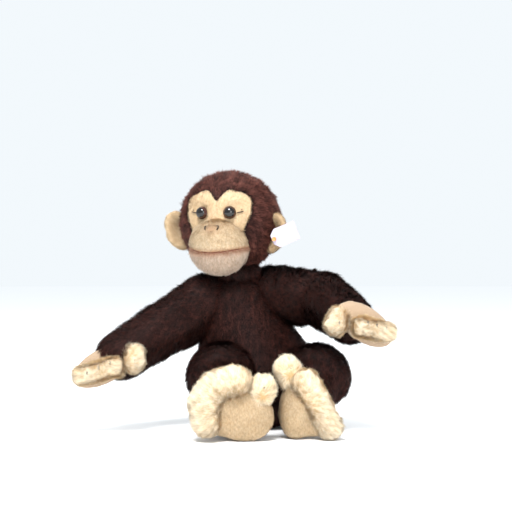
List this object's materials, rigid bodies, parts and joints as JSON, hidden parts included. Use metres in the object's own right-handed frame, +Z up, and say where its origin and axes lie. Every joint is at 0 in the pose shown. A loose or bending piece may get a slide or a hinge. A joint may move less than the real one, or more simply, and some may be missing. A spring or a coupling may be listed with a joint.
{
  "type": "stuffed monkey",
  "caption": "Seated stuffed toy chimpanzee in plush with a floppy neck, arms and legs, toy eyes, stitched face details and a blank hang tag on one ear.",
  "frame": {"origin": "centre of the flat seat that the toy rests on", "axes": "+Z up, -Y the way the toy's chest faces, +X towards the toy's left"},
  "size_m": [0.2924, 0.1765, 0.252],
  "materials": {
    "brown_plush": "long-pile plush, dark brown",
    "beige_plush": "short-pile plush, beige",
    "chin_plush": "short-pile plush, pale pinkish cream",
    "cream_plush": "fluffy plush, cream",
    "suede": "brushed suede-like cloth, tan",
    "filling": "polyester fibre filling",
    "pellet_bag": "woven bag of plastic pellets",
    "eye_plastic": "polished black",
    "washer_plastic": "natural nylon",
    "dark_thread": "embroidery thread",
    "mouth_thread": "embroidery thread, brown",
    "tag_card": "coated card, blank",
    "pin_plastic": "amber plastic"
  },
  "bodies": {
    "torso": {"belly_panel": "brown_plush", "back_panel": "brown_plush", "torso_filling": "filling", "pellet_bag": "pellet_bag"},
    "neck": {"neck_filling": "filling"},
    "head": {"face_mask": "beige_plush", "crown_gusset": "brown_plush", "head_side_right": "brown_plush", "head_side_left": "brown_plush", "head_filling": "filling", "muzzle_panel": "beige_plush", "chin_panel": "chin_plush", "muzzle_filling": "filling", "mouth_stitch": "mouth_thread", "nostril_stitches": "dark_thread", "lash_stitches": "dark_thread", "hang_tag": "tag_card", "tag_pin": "pin_plastic", "ear_right": "beige_plush", "eye_right": "eye_plastic", "eye_washer_right": "washer_plastic", "ear_left": "beige_plush", "eye_left": "eye_plastic", "eye_washer_left": "washer_plastic"},
    "upper_arm_right": {"upper_arm_sleeve_right": "brown_plush", "upper_arm_filling_right": "filling"},
    "forearm_right": {"forearm_sleeve_right": "brown_plush", "forearm_filling_right": "filling", "palm_right": "suede", "fingers_right": "cream_plush", "thumb_right": "cream_plush", "finger_stitches_right": "dark_thread"},
    "thigh_right": {"thigh_sleeve_right": "brown_plush", "thigh_filling_right": "filling"},
    "shin_right": {"shin_sleeve_right": "brown_plush", "shin_filling_right": "filling", "sole_right": "beige_plush", "toes_right": "cream_plush", "big_toe_right": "cream_plush", "toe_stitch_right": "dark_thread"},
    "upper_arm_left": {"upper_arm_sleeve_left": "brown_plush", "upper_arm_filling_left": "filling"},
    "forearm_left": {"forearm_sleeve_left": "brown_plush", "forearm_filling_left": "filling", "palm_left": "suede", "fingers_left": "cream_plush", "thumb_left": "cream_plush", "finger_stitches_left": "dark_thread"},
    "thigh_left": {"thigh_sleeve_left": "brown_plush", "thigh_filling_left": "filling"},
    "shin_left": {"shin_sleeve_left": "brown_plush", "shin_filling_left": "filling", "sole_left": "beige_plush", "toes_left": "cream_plush", "big_toe_left": "cream_plush", "toe_stitch_left": "dark_thread"}
  },
  "joints": [
    {"name": "head_nod", "type": "hinge", "parent": "torso", "child": "neck", "pos_m": [-0.018, 0.003, 0.155], "axis": [0.866, -0.5, 0], "range_deg": [-12, 8]},
    {"name": "head_turn", "type": "hinge", "parent": "neck", "child": "head", "pos_m": [-0.018, 0.003, 0.155], "axis": [0, 0, 1], "range_deg": [-20, 50]},
    {"name": "shoulder_right", "type": "hinge", "parent": "torso", "child": "upper_arm_right", "pos_m": [-0.047, 0.004, 0.123], "axis": [-0.2927, 0.9562, 0], "range_deg": [-10, 40]},
    {"name": "elbow_right", "type": "hinge", "parent": "upper_arm_right", "child": "forearm_right", "pos_m": [-0.096, -0.011, 0.097], "axis": [-0.2591, 0.9658, 0], "range_deg": [-5, 45]},
    {"name": "hip_right", "type": "hinge", "parent": "torso", "child": "thigh_right", "pos_m": [-0.033, -0.012, 0.032], "axis": [0, 0, 1], "range_deg": [-24, 0]},
    {"name": "knee_right", "type": "hinge", "parent": "thigh_right", "child": "shin_right", "pos_m": [-0.043, -0.048, 0.054], "axis": [-0.9985, -0.0555, 0], "range_deg": [0, 20]},
    {"name": "shoulder_left", "type": "hinge", "parent": "torso", "child": "upper_arm_left", "pos_m": [0.02, 0.002, 0.131], "axis": [-0.7483, -0.6633, 0], "range_deg": [0, 40]},
    {"name": "elbow_left", "type": "hinge", "parent": "upper_arm_left", "child": "forearm_left", "pos_m": [0.059, -0.042, 0.127], "axis": [-0.9345, -0.356, 0], "range_deg": [0, 45]},
    {"name": "hip_left", "type": "hinge", "parent": "torso", "child": "thigh_left", "pos_m": [0.029, -0.014, 0.032], "axis": [0, 0, 1], "range_deg": [0, 24]},
    {"name": "knee_left", "type": "hinge", "parent": "thigh_left", "child": "shin_left", "pos_m": [0.049, -0.054, 0.052], "axis": [-0.8944, 0.4472, 0], "range_deg": [0, 20]}
  ]
}
